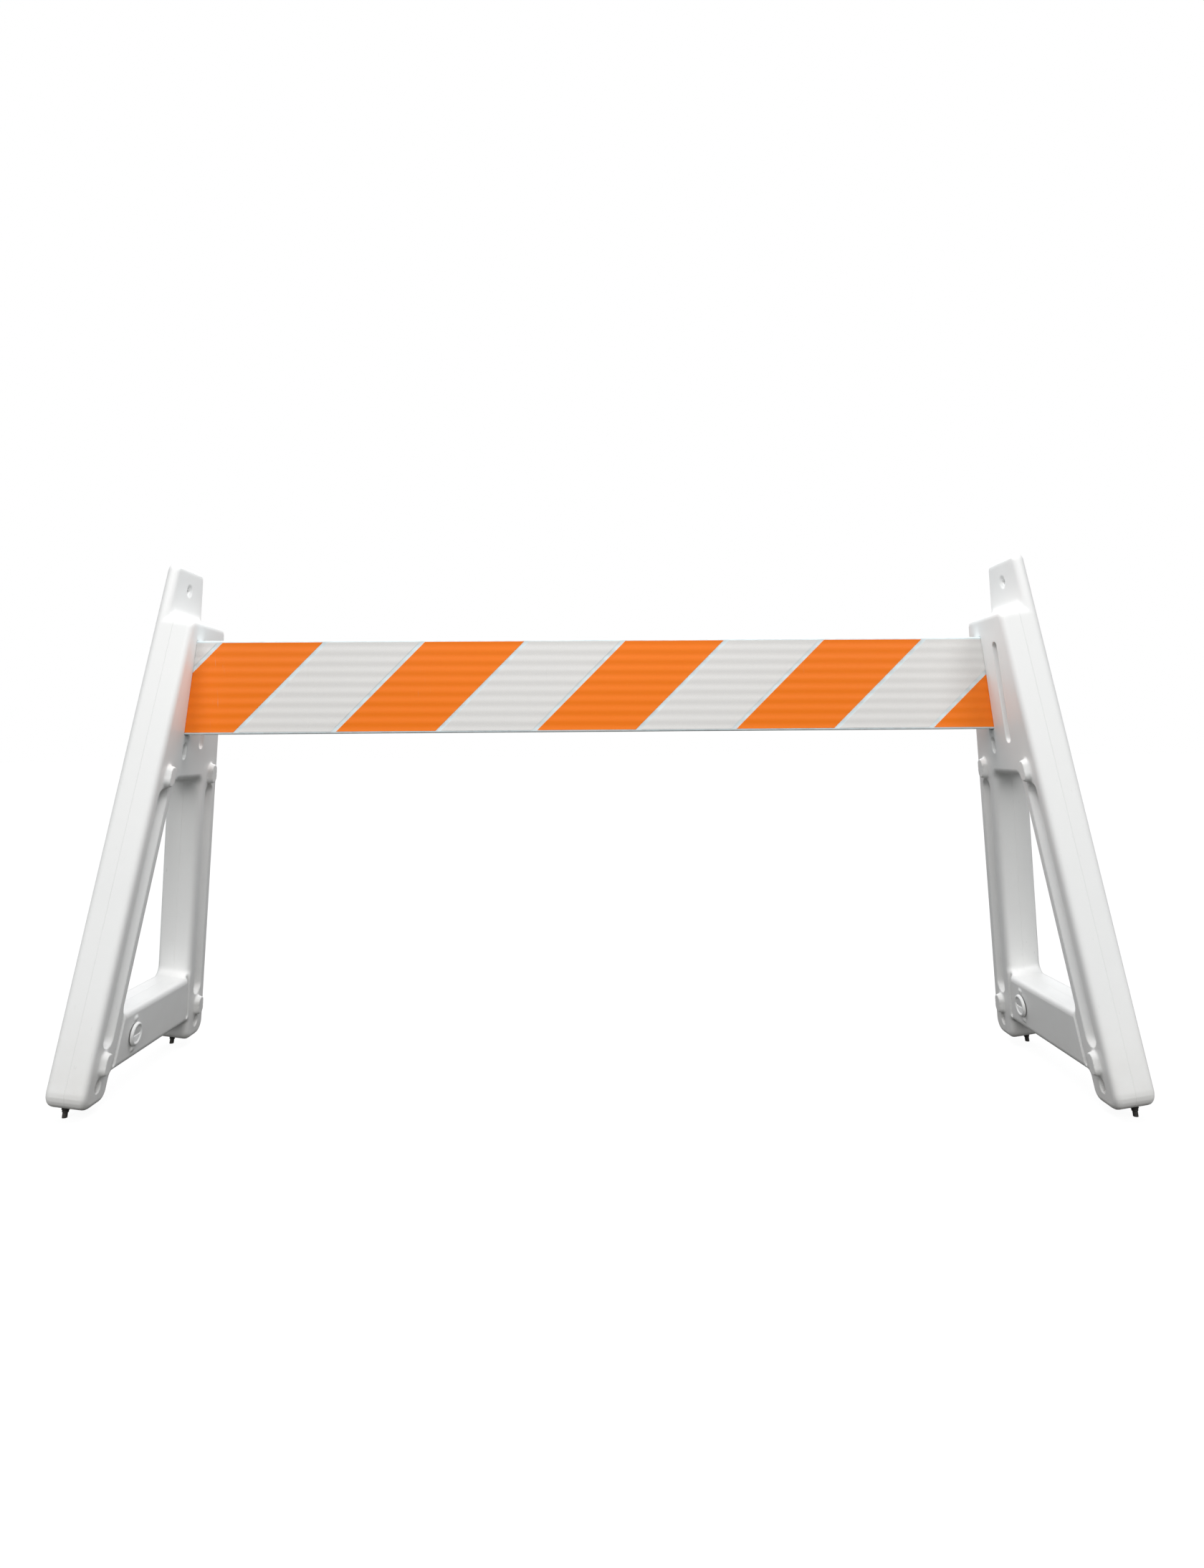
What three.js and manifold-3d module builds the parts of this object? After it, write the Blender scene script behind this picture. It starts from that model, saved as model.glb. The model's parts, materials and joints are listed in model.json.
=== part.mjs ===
// Sawhorse barricade: two leaning A-shaped plastic end frames carry one striped rail between them.
// Units are millimetres, +Z is up, +X runs along the rail and -Y is the front. The origin is on the
// ground, midway between the four feet.
import * as THREE from "three";
import { mergeVertices } from "three/addons/utils/BufferGeometryUtils.js";
import Module from "manifold-3d";

// ---- driving dimensions ----
const INCH = 25.4;

// rail: a hollow extruded plank, 6 ft long, 8 in high and 1 1/4 in thick
const RAIL_LENGTH = 72 * INCH;
const RAIL_HEIGHT = 8 * INCH;
const RAIL_THICKNESS = 1.25 * INCH;
const RAIL_MIDDLE = 859; // height of its centre line above the ground
const RAIL_WALL = 3;
const RAIL_RIB = 2.2;
const RAIL_CELLS = 9;
const RAIL_CORNER = 3;

// striped sheeting: 45 degree panels stuck to both faces of the rail, 6 in wide across the slant
const SHEET_THICKNESS = 0.5;
const SHEET_MARGIN = 4.5; // bare plastic above and below the panels
const SHEET_END_MARGIN = 1; // and at the ends of the rail
const SHEET_GAP = 0.1; // between a panel and the rail
const ORANGE_WIDTH = 6 * INCH * Math.SQRT2; // measured along the rail
const WHITE_WIDTH = 198.7;
const BARE_WIDTH = 11.5; // bare plastic between two panels, along the rail
const FIRST_ORANGE = -791.4; // middle of the first orange panel, at half height
const STRIPES = 5;

// end frame, drawn in its own plane: v runs across the feet and w up the frame
const FRAME_THICKNESS = 80;
const FOOT_BOTTOM = 18;
const FRAME_TOP = 1130;
const BASE_HALF = 311; // half the spread of the legs at w = 0
const LEG_SLOPE = 0.211; // how far a leg moves in for each millimetre up
const LEG_WIDTH = 100;
const BRACE_BOTTOM = 69; // the cross brace between the feet
const BRACE_TOP = 182;
const WEB_BOTTOM = 664; // underside of the solid head
const SHOULDER = 1015; // top of the head, beside the tab
const EDGE_RADIUS = 12;
const CORNERS = { footOuter: 36, footInner: 28, shoulder: 20, tab: 18, brace: 10, web: 20, sill: 16 };
const WALL = 4;
const SOLE_DEPTH = 24; // solid plastic round the stud socket at the end of a leg
const LEAN = THREE.MathUtils.degToRad(8.2);
const INNER_FACE_AT_GROUND = 995; // from the middle of the barricade to a frame's inner face

// tab on top of a frame, for a warning light
const TAB_THICKNESS = 25;
const TAB_ROOT = 930; // how far down the tab runs inside the head
const TAB_COVE = 20; // radius of the fillet between the tab and the shoulder
const COVE_RUN_OUT = 18; // length over which the fillet fades out at each end
const LIGHT_HOLE = 13;
const LIGHT_HOLE_AT = 1080;
const LIGHT_DIMPLE = { radius: 14, depth: 3, draft: 3 }; // the flat round the hole

// pocket in a frame's inner face that takes the end of the rail; it lies off the frame's middle
const POCKET_AT = -45;
const POCKET_SIDE_GAP = 0.4;
const POCKET_END_GAP = 0.6;

// lugs standing out from the legs' inner faces, nesting in sockets in the outer faces when stacked
const LUGS = { radius: 16, height: 12, draft: 3, at: [[667.5, 684.5], [91.5, 108.5]] };
const NESTING_GAP = 1;

// hollows moulded into the faces; a run is the two ends of a round-ended slot's middle line
const FLUTE = { radius: 21, depth: 12, draft: 8, run: [150, 628] };
const FOOT_HOLLOW = { radius: 11, depth: 11, draft: 3, run: [56, 61] };
const BRACE_GROOVE = { radius: 6, depth: 6, draft: 3, run: [84, 196], inside: 5 };
const HEAD_FLUTE = { radius: 12, depth: 14, draft: 5, run: [[42, 746], [42, 940]] };
const HEAD_DIMPLE = { radius: 10, depth: 11, draft: 4, run: [[-47, 722], [-47, 736]] };

// ballast filler: a screw cap on the brace, between two small raised stops
const CAP_V = -110;
const CAP_W = 126;
const NECK_RADIUS = 19;
const NECK_LENGTH = 13;
const NECK_WALL = 3;
const NECK_CLEARANCE = 0.6;
const FLANGE_RADIUS = 25;
const FLANGE_THICKNESS = 6;
const FLANGE_BEVEL = 2.5;
const GASKET_THICKNESS = 2;
const GASKET_INSET = 1.5; // from the rim of the flange
const COIN_SLOT = [36, 6, 4]; // length, width and depth
const CAP_STOP = { radius: 5, depth: 3, draft: 2, halfLength: 4, clear: 8 };
const FILLER_BOTTOM = 10; // thickness coordinate at which the filler hole ends, inside the ballast room

// rubber stud pressed into the end of each leg
const STUD_AT = -13; // towards the outer face, from the middle of the thickness
const STUD_TOP_RADIUS = 9;
const STUD_TIP_RADIUS = 5;
const STUD_RIM = 3;
const STUD_SHANK_RADIUS = 6;
const STUD_SHANK_LENGTH = 16;
const FIT = 0.3; // gap left between two separate pieces

// ---- values worked out from them ----
const HALF_THICKNESS = FRAME_THICKNESS / 2;
const TAB_FACE = TAB_THICKNESS - HALF_THICKNESS;
const RAIL_CORNER_AT = new THREE.Vector3(RAIL_LENGTH / 2, RAIL_THICKNESS / 2, RAIL_HEIGHT / 2);
const SHEET_FACE = RAIL_THICKNESS / 2 + SHEET_GAP + SHEET_THICKNESS;
const outerEdge = (w) => BASE_HALF - LEG_SLOPE * w;
const innerEdge = (w) => outerEdge(w) - LEG_WIDTH;
const legMiddle = (w) => outerEdge(w) - LEG_WIDTH / 2;

// From the left frame's own axes (thickness, v, w) to the barricade's.
const frameToWorld = new THREE.Matrix4()
  .makeRotationY(LEAN)
  .setPosition(
    -INNER_FACE_AT_GROUND - HALF_THICKNESS * Math.cos(LEAN),
    -POCKET_AT,
    HALF_THICKNESS * Math.sin(LEAN),
  );
const worldToFrame = frameToWorld.clone().invert();

// ---- materials ----
const plastic = (name, color, roughness) =>
  new THREE.MeshStandardMaterial({ name, color, roughness, metalness: 0 });
const frameWhite = plastic("frame_white", 0xe9e9e6, 0.5);
const railWhite = plastic("rail_white", 0xdfe6e8, 0.45);
const capWhite = plastic("cap_white", 0xdadada, 0.45);
const rubberBlack = plastic("rubber_black", 0x1d1d1b, 0.85);
const sheetOrange = plastic("sheet_orange", 0xf57a1a, 0.35);
const sheetWhite = plastic("sheet_white", 0xdcdbd8, 0.35);

// ---- solid modelling helpers ----
const wasm = await Module();
wasm.setup();

// A closed geometry as a manifold-3d solid.
function solid(geometry) {
  const bare = geometry.index ? geometry.toNonIndexed() : geometry.clone();
  bare.deleteAttribute("normal");
  bare.deleteAttribute("uv");
  const merged = mergeVertices(bare, 1e-3);
  return new wasm.Manifold(
    new wasm.Mesh({
      numProp: 3,
      vertProperties: merged.attributes.position.array,
      triVerts: new Uint32Array(merged.index.array),
    }),
  );
}

// A manifold-3d solid as a flat-shaded geometry.
function geometryOf(made) {
  const mesh = made.getMesh();
  const geometry = new THREE.BufferGeometry();
  geometry.setAttribute("position", new THREE.BufferAttribute(mesh.vertProperties, 3));
  geometry.setIndex(new THREE.BufferAttribute(mesh.triVerts, 1));
  const flat = geometry.toNonIndexed();
  flat.computeVertexNormals();
  return flat;
}

const cutAll = (body, tools) => tools.reduce((left, tool) => left.subtract(tool), body);
const joinAll = (body, pieces) => pieces.reduce((sum, piece) => sum.add(piece), body);

// Traces corners given as [v, w, radius], each one rounded.
function roundedPath(path, corners) {
  corners.forEach(([v, w, radius], i) => {
    const corner = new THREE.Vector2(v, w);
    const before = new THREE.Vector2(...corners.at(i - 1).slice(0, 2));
    const after = new THREE.Vector2(...corners[(i + 1) % corners.length].slice(0, 2));
    const entry = corner.clone().add(before.sub(corner).setLength(radius));
    const exit = corner.clone().add(after.sub(corner).setLength(radius));
    if (i === 0) path.moveTo(entry.x, entry.y);
    else path.lineTo(entry.x, entry.y);
    path.quadraticCurveTo(corner.x, corner.y, exit.x, exit.y);
  });
  path.closePath();
  return path;
}

// A round-ended slot between two points.
function stadium([v0, w0], [v1, w1], radius) {
  const along = Math.atan2(w1 - w0, v1 - v0);
  const shape = new THREE.Shape();
  shape.absarc(v0, w0, radius, along + Math.PI / 2, along + 1.5 * Math.PI, false);
  shape.absarc(v1, w1, radius, along - Math.PI / 2, along + Math.PI / 2, false);
  shape.closePath();
  return shape;
}

// A solid through sections [x, shape]: every shape has the same points, drawn in (v, w).
function lofted(sections, divisions) {
  const positions = [];
  const triangles = [];
  const loopsOf = (shape) => {
    const { shape: outer, holes } = shape.extractPoints(divisions);
    return [outer, ...holes].map((loop) =>
      loop.at(0).distanceTo(loop.at(-1)) < 1e-6 ? loop.slice(0, -1) : loop,
    );
  };
  const layers = sections.map(([x, shape]) => [x, loopsOf(shape)]);
  for (const [x, loops] of layers) {
    for (const point of loops.flat()) positions.push(x, point.x, point.y);
  }
  const layerSize = layers[0][1].flat().length;
  for (let layer = 0; layer + 1 < layers.length; layer++) {
    let first = layer * layerSize;
    for (const loop of layers[layer][1]) {
      for (let i = 0; i < loop.length; i++) {
        const [a, b] = [first + i, first + ((i + 1) % loop.length)];
        triangles.push(a, b, b + layerSize, a, b + layerSize, a + layerSize);
      }
      first += loop.length;
    }
  }
  const lastLayer = (layers.length - 1) * layerSize;
  const [outer, ...holes] = layers[0][1];
  for (const [a, b, c] of THREE.ShapeUtils.triangulateShape(outer, holes)) {
    triangles.push(a, c, b, lastLayer + a, lastLayer + b, lastLayer + c);
  }
  const geometry = new THREE.BufferGeometry();
  geometry.setAttribute("position", new THREE.Float32BufferAttribute(positions, 3));
  geometry.setIndex(triangles);
  return solid(geometry);
}

// A slab from x0 to x1 with rounded edges; outlineAt(inset) is its outline drawn that much smaller.
function roundedSlab(outlineAt, [x0, x1], radius, steps) {
  const rounding = Array.from({ length: steps + 1 }, (_, i) => (i / steps) * (Math.PI / 2));
  const insets = rounding.map((angle) => [
    radius * (1 - Math.sin(angle)),
    radius * (1 - Math.cos(angle)),
  ]);
  const near = insets.map(([x, inset]) => [x0 + x, outlineAt(inset)]).reverse();
  const far = insets.map(([x, inset]) => [x1 - x, outlineAt(inset)]);
  return lofted([...near, ...far], 3);
}

// A low pad or hollow with sloping sides at a face: it reaches `depth` to both sides of the plane at x.
// shapeAt(grow) is its outline at the plane, drawn that much larger.
function pad(shapeAt, x, depth, draft) {
  const tip = shapeAt(-draft);
  const middle = shapeAt(0);
  return lofted([[x - depth, tip], [x, middle], [x + depth, tip]], 4);
}

function block(x0, x1, y0, y1, z0, z1) {
  const geometry = new THREE.BoxGeometry(x1 - x0, y1 - y0, z1 - z0);
  return geometry.translate((x0 + x1) / 2, (y0 + y1) / 2, (z0 + z1) / 2);
}

// A profile of [radius, x] points turned round an axis along X.
function turned(points, y, z, sides) {
  const geometry = new THREE.LatheGeometry(points.map(([r, x]) => new THREE.Vector2(r, x)), sides);
  geometry.rotateZ(-Math.PI / 2);
  return solid(geometry.translate(0, y, z));
}

// A prism along Y of a profile drawn in (x, z).
function prismAlongY(shape, y0, y1, curveSegments) {
  const options = { depth: y1 - y0, bevelEnabled: false, curveSegments };
  const geometry = new THREE.ExtrudeGeometry(shape, options);
  geometry.rotateX(Math.PI / 2);
  return solid(geometry.translate(0, y1, 0));
}

// ---- end frame ----
// The radius of an outer corner or an inner one on an outline shrunk by an inset.
const outerRadius = (radius, inset) => Math.max(radius - inset, 4);
const innerRadius = (radius, inset) => radius + inset;

// The A outline shrunk by an inset: two legs, a brace between the feet and a head over the triangle.
function frameOutline(inset, bottom, top) {
  const sideways = inset * Math.hypot(1, LEG_SLOPE);
  const outer = (w) => outerEdge(w) - sideways;
  const inner = (w) => innerEdge(w) + sideways;
  const [soleAt, topAt, braceBottom] = [bottom + inset, top - inset, BRACE_BOTTOM + inset];
  const half = [
    [outer(soleAt), soleAt, outerRadius(CORNERS.footOuter, inset)],
    [outer(topAt), topAt, outerRadius(CORNERS.shoulder, inset)],
  ];
  const foot = [
    [-inner(soleAt), soleAt, outerRadius(CORNERS.footInner, inset)],
    [-inner(braceBottom), braceBottom, innerRadius(CORNERS.brace, inset)],
  ];
  const mirrored = (corners) => corners.map(([v, w, r]) => [-v, w, r]).reverse();
  const shape = new THREE.Shape();
  roundedPath(shape, [...half, ...mirrored(half), ...foot, ...mirrored(foot)]);
  const triangle = [
    [inner(WEB_BOTTOM + inset), WEB_BOTTOM + inset, innerRadius(CORNERS.web, inset)],
    [inner(BRACE_TOP - inset), BRACE_TOP - inset, innerRadius(CORNERS.sill, inset)],
  ];
  shape.holes.push(roundedPath(new THREE.Path(), [...triangle, ...mirrored(triangle)]));
  return shape;
}

// The tab's outline, which carries the head's two edges on upwards.
function tabOutline(inset) {
  const sideways = inset * Math.hypot(1, LEG_SLOPE);
  const [rootAt, topAt] = [TAB_ROOT + inset, FRAME_TOP - inset];
  const half = [
    [outerEdge(rootAt) - sideways, rootAt, 4],
    [outerEdge(topAt) - sideways, topAt, outerRadius(CORNERS.tab, inset)],
  ];
  const mirrored = half.map(([v, w, r]) => [-v, w, r]).reverse();
  return roundedPath(new THREE.Shape(), [...half, ...mirrored]);
}

// Outlines of slots, as functions of how much larger to draw them.
const between = ([start, end], radius) => (grow) => stadium(start, end, radius + grow);
const onLeg = (w, side) => [side * legMiddle(w), w];
const alongLeg = (run, radius, side) => between(run.map((w) => onLeg(w, side)), radius);

// Every hollow in the faces, as [shapeAt, x of the face, depth, draft].
function hollows() {
  const found = [];
  for (const side of [-1, 1]) {
    const flute = alongLeg(FLUTE.run, FLUTE.radius, side);
    found.push([flute, HALF_THICKNESS, FLUTE.depth, FLUTE.draft]);
    found.push([flute, -HALF_THICKNESS, FLUTE.depth, FLUTE.draft]);
    for (const lug of LUGS.at) {
      const socket = alongLeg(lug, LUGS.radius + NESTING_GAP, side);
      found.push([socket, -HALF_THICKNESS, LUGS.height + NESTING_GAP, LUGS.draft]);
    }
    const footHollow = alongLeg(FOOT_HOLLOW.run, FOOT_HOLLOW.radius, side);
    found.push([footHollow, HALF_THICKNESS, FOOT_HOLLOW.depth, FOOT_HOLLOW.draft]);
    const grooveEnds = BRACE_GROOVE.run.map((w) => [side * (innerEdge(w) - BRACE_GROOVE.inside), w]);
    const groove = between(grooveEnds, BRACE_GROOVE.radius);
    found.push([groove, HALF_THICKNESS, BRACE_GROOVE.depth, BRACE_GROOVE.draft]);
  }
  for (const { run, radius, depth, draft } of [HEAD_FLUTE, HEAD_DIMPLE]) {
    found.push([between(run, radius), HALF_THICKNESS, depth, draft]);
  }
  return found;
}

// The end of the rail with its sheeting, made larger by a clearance all round, in the frame's axes.
function railEnd(clearance) {
  const { x: end, z: top } = RAIL_CORNER_AT;
  const side = SHEET_FACE + POCKET_SIDE_GAP + clearance;
  const geometry = block(
    -end - POCKET_END_GAP - clearance,
    0,
    -side,
    side,
    RAIL_MIDDLE - top - POCKET_SIDE_GAP - clearance,
    RAIL_MIDDLE + top + POCKET_SIDE_GAP + clearance,
  );
  return solid(geometry.applyMatrix4(worldToFrame));
}

// The room for ballast inside the moulding.
function cavity() {
  const outlineAt = (inset) => frameOutline(WALL + inset, FOOT_BOTTOM + SOLE_DEPTH, SHOULDER);
  const inside = HALF_THICKNESS - WALL;
  const room = roundedSlab(outlineAt, [-inside, inside], EDGE_RADIUS - WALL, 1);
  const backs = hollows().map(([shapeAt, x, depth, draft]) =>
    pad((grow) => shapeAt(grow + WALL), x, depth + WALL, draft),
  );
  return cutAll(room, [railEnd(WALL), ...backs]);
}

// A round hole up the leg for the stud's shank, from below the sole.
function studSocket(side) {
  const radius = STUD_SHANK_RADIUS + FIT;
  const top = FOOT_BOTTOM + STUD_SHANK_LENGTH + FIT;
  const geometry = new THREE.CylinderGeometry(radius, radius, 2 * STUD_SHANK_LENGTH, 20);
  geometry.rotateX(Math.PI / 2);
  return solid(geometry.translate(STUD_AT, side * legMiddle(FOOT_BOTTOM), top - STUD_SHANK_LENGTH));
}

// The concave fillet between the tab and the shoulder, fading out towards both ends.
function tabCove() {
  const profile = (radius) => {
    const shape = new THREE.Shape();
    shape.moveTo(-TAB_FACE - radius, SHOULDER - 1);
    shape.lineTo(-TAB_FACE + 1, SHOULDER - 1);
    shape.lineTo(-TAB_FACE + 1, SHOULDER + radius);
    shape.lineTo(-TAB_FACE, SHOULDER + radius);
    shape.absarc(-TAB_FACE - radius, SHOULDER + radius, radius, 0, -Math.PI / 2, true);
    shape.closePath();
    return shape;
  };
  const reach = outerEdge(SHOULDER) - CORNERS.shoulder / 2;
  const faded = TAB_COVE / 4;
  const sections = [
    [-reach, profile(faded)],
    [COVE_RUN_OUT - reach, profile(TAB_COVE)],
    [reach - COVE_RUN_OUT, profile(TAB_COVE)],
    [reach, profile(faded)],
  ];
  return lofted(sections, 6).rotate([0, 0, 90]);
}

function frameShell() {
  const outlineAt = (inset) => frameOutline(inset, FOOT_BOTTOM, SHOULDER);
  const body = roundedSlab(outlineAt, [-HALF_THICKNESS, HALF_THICKNESS], EDGE_RADIUS, 3);
  const tab = roundedSlab(tabOutline, [-HALF_THICKNESS, TAB_FACE], EDGE_RADIUS, 3);
  const lugs = [-1, 1].flatMap((side) =>
    LUGS.at.map((lug) =>
      pad(alongLeg(lug, LUGS.radius, side), HALF_THICKNESS, LUGS.height, LUGS.draft),
    ),
  );
  const capStops = [-1, 1].map((side) => {
    const w = CAP_W + side * (FLANGE_RADIUS + CAP_STOP.clear);
    const run = [-1, 1].map((end) => [CAP_V + end * CAP_STOP.halfLength, w]);
    return pad(between(run, CAP_STOP.radius), HALF_THICKNESS, CAP_STOP.depth, CAP_STOP.draft);
  });
  const raised = [tab, tabCove(), ...lugs, ...capStops];
  const sunk = hollows().map((hollow) => pad(...hollow));
  const outside = cutAll(joinAll(body, raised), sunk);
  const dimple = between([[-0.5, LIGHT_HOLE_AT], [0.5, LIGHT_HOLE_AT]], LIGHT_DIMPLE.radius);
  const lightSeat = pad(dimple, TAB_FACE, LIGHT_DIMPLE.depth, LIGHT_DIMPLE.draft);
  const drill = (radius, x0, x1) => [[0, x0], [radius, x0], [radius, x1], [0, x1]];
  const lightHole = turned(drill(LIGHT_HOLE / 2, -FRAME_THICKNESS, 0), 0, LIGHT_HOLE_AT, 20);
  const bore = NECK_RADIUS + NECK_CLEARANCE;
  const filler = turned(drill(bore, FILLER_BOTTOM, FRAME_THICKNESS), CAP_V, CAP_W, 32);
  const openings = [lightSeat, lightHole, studSocket(-1), studSocket(1), railEnd(0)];
  return cutAll(outside, [...openings, cavity(), filler]);
}

// ---- filler cap and its gasket ----
const flangeBack = HALF_THICKNESS + GASKET_THICKNESS + 2 * FIT;

function fillerCap() {
  const front = flangeBack + FLANGE_THICKNESS;
  const neckEnd = HALF_THICKNESS - NECK_LENGTH;
  const bore = NECK_RADIUS - NECK_WALL;
  const body = turned(
    [
      [0, flangeBack],
      [bore, flangeBack],
      [bore, neckEnd],
      [NECK_RADIUS, neckEnd],
      [NECK_RADIUS, flangeBack],
      [FLANGE_RADIUS, flangeBack],
      [FLANGE_RADIUS, front - FLANGE_BEVEL],
      [FLANGE_RADIUS - FLANGE_BEVEL, front],
      [0, front],
    ],
    CAP_V,
    CAP_W,
    36,
  );
  const [length, width, depth] = COIN_SLOT;
  const coinSlot = block(
    front - depth,
    front + 1,
    CAP_V - length / 2,
    CAP_V + length / 2,
    CAP_W - width / 2,
    CAP_W + width / 2,
  );
  return body.subtract(solid(coinSlot));
}

function capGasket() {
  const [inner, outer] = [NECK_RADIUS + FIT, FLANGE_RADIUS - GASKET_INSET];
  const back = HALF_THICKNESS + FIT;
  const front = back + GASKET_THICKNESS;
  const section = [[inner, back], [outer, back], [outer, front], [inner, front], [inner, back]];
  return turned(section, CAP_V, CAP_W, 36);
}

// ---- stud under a leg, its tip cut level with the ground ----
function footStud(side) {
  const below = -STUD_TOP_RADIUS;
  const soleGap = FOOT_BOTTOM - FIT;
  const profile = [
    [0, below],
    [STUD_TIP_RADIUS, below],
    [STUD_TIP_RADIUS, 0],
    [STUD_TOP_RADIUS, soleGap - STUD_RIM],
    [STUD_TOP_RADIUS, soleGap],
    [STUD_SHANK_RADIUS, soleGap],
    [STUD_SHANK_RADIUS, FOOT_BOTTOM + STUD_SHANK_LENGTH],
    [0, FOOT_BOTTOM + STUD_SHANK_LENGTH],
  ];
  const geometry = new THREE.LatheGeometry(profile.map(([r, w]) => new THREE.Vector2(r, w)), 20);
  geometry.rotateX(Math.PI / 2);
  const stud = solid(geometry.translate(STUD_AT, side * legMiddle(FOOT_BOTTOM), 0));
  const reach = 2 * INNER_FACE_AT_GROUND;
  const ground = block(-reach, reach, -reach, reach, -reach, 0).applyMatrix4(worldToFrame);
  return stud.subtract(solid(ground));
}

// ---- rail and its striped panels ----
// Turns a shape drawn in (y, z) and extruded along its Z into one that runs along X.
const alongX = new THREE.Matrix4().makeBasis(
  new THREE.Vector3(0, 1, 0),
  new THREE.Vector3(0, 0, 1),
  new THREE.Vector3(1, 0, 0),
);

function railBoard() {
  const { x: end, y: side, z: top } = RAIL_CORNER_AT;
  const shape = new THREE.Shape();
  roundedPath(shape, [
    [-side, -top, RAIL_CORNER],
    [side, -top, RAIL_CORNER],
    [side, top, RAIL_CORNER],
    [-side, top, RAIL_CORNER],
  ]);
  const options = { depth: 2 * end, bevelEnabled: false, curveSegments: 3 };
  const geometry = new THREE.ExtrudeGeometry(shape, options).translate(0, 0, -end);
  const plank = solid(geometry.applyMatrix4(alongX).translate(0, 0, RAIL_MIDDLE));
  const ribs = RAIL_CELLS - 1;
  const cell = (RAIL_HEIGHT - 2 * RAIL_WALL - ribs * RAIL_RIB) / RAIL_CELLS;
  const reach = side - RAIL_WALL;
  const cells = Array.from({ length: RAIL_CELLS }, (_, i) => {
    const low = RAIL_MIDDLE - top + RAIL_WALL + i * (cell + RAIL_RIB);
    return solid(block(-end - 1, end + 1, -reach, reach, low, low + cell));
  });
  return cutAll(plank, cells);
}

// One slanted panel on the front face, centred on `middle` and clipped where the rail ends.
function frontPanel(middle, width) {
  const halfHeight = RAIL_HEIGHT / 2 - SHEET_MARGIN;
  const [start, end] = [middle - width / 2, middle + width / 2];
  const shape = new THREE.Shape([
    new THREE.Vector2(start - halfHeight, -halfHeight),
    new THREE.Vector2(end - halfHeight, -halfHeight),
    new THREE.Vector2(end + halfHeight, halfHeight),
    new THREE.Vector2(start + halfHeight, halfHeight),
  ]);
  const flat = prismAlongY(shape, 0, SHEET_THICKNESS, 1);
  const panel = flat.translate([0, -SHEET_FACE, RAIL_MIDDLE]);
  const railEndAt = RAIL_CORNER_AT.x - SHEET_END_MARGIN;
  const rail = solid(block(-railEndAt, railEndAt, -RAIL_THICKNESS, 0, 0, 2 * RAIL_MIDDLE));
  return panel.intersect(rail);
}

// ---- assembly ----
const barricade = new THREE.Group();

function addMesh(parent, name, geometry, material) {
  const mesh = new THREE.Mesh(geometry, material);
  mesh.name = name;
  parent.add(mesh);
}

// The two end frames are the same moulding; the right one faces the other way.
const shellGeometry = geometryOf(frameShell());
const capGeometry = geometryOf(fillerCap());
const gasketGeometry = geometryOf(capGasket());
const studGeometries = [-1, 1].map((side) => geometryOf(footStud(side)));
for (const [name, turn, places] of [
  ["left", 0, ["front", "rear"]],
  ["right", Math.PI, ["rear", "front"]],
]) {
  const end = new THREE.Group();
  end.rotation.z = turn;
  const leaning = new THREE.Group();
  leaning.position.setFromMatrixPosition(frameToWorld);
  leaning.rotation.y = LEAN;
  end.add(leaning);
  barricade.add(end);
  addMesh(leaning, `${name}_a_frame`, shellGeometry, frameWhite);
  addMesh(leaning, `${name}_fill_cap`, capGeometry, capWhite);
  addMesh(leaning, `${name}_cap_seal`, gasketGeometry, rubberBlack);
  studGeometries.forEach((geometry, i) =>
    addMesh(leaning, `${name}_${places[i]}_foot_stud`, geometry, rubberBlack),
  );
}

addMesh(barricade, "rail_board", geometryOf(railBoard()), railWhite);

// Panels of the front face, then the same panels turned round for the rear face.
const pitch = ORANGE_WIDTH + WHITE_WIDTH + 2 * BARE_WIDTH;
for (const [name, turn] of [["front", 0], ["rear", Math.PI]]) {
  const face = new THREE.Group();
  face.rotation.z = turn;
  barricade.add(face);
  for (let i = 0; i < STRIPES; i++) {
    const middle = FIRST_ORANGE + i * pitch;
    const orange = frontPanel(middle, ORANGE_WIDTH);
    const white = frontPanel(middle - pitch / 2, WHITE_WIDTH);
    addMesh(face, `${name}_orange_stripe_${i + 1}`, geometryOf(orange), sheetOrange);
    addMesh(face, `${name}_white_stripe_${i + 1}`, geometryOf(white), sheetWhite);
  }
}

export default barricade;
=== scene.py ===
# A sawhorse traffic barricade: two leaning A-shaped end frames, moulded hollow in white polyethylene,
# hold a striped rail in pockets. Lengths are in metres, +Z is up, +X runs along the rail, -Y is the front.
import json
import math

import bmesh
import bpy
from mathutils import Matrix, Vector


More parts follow.
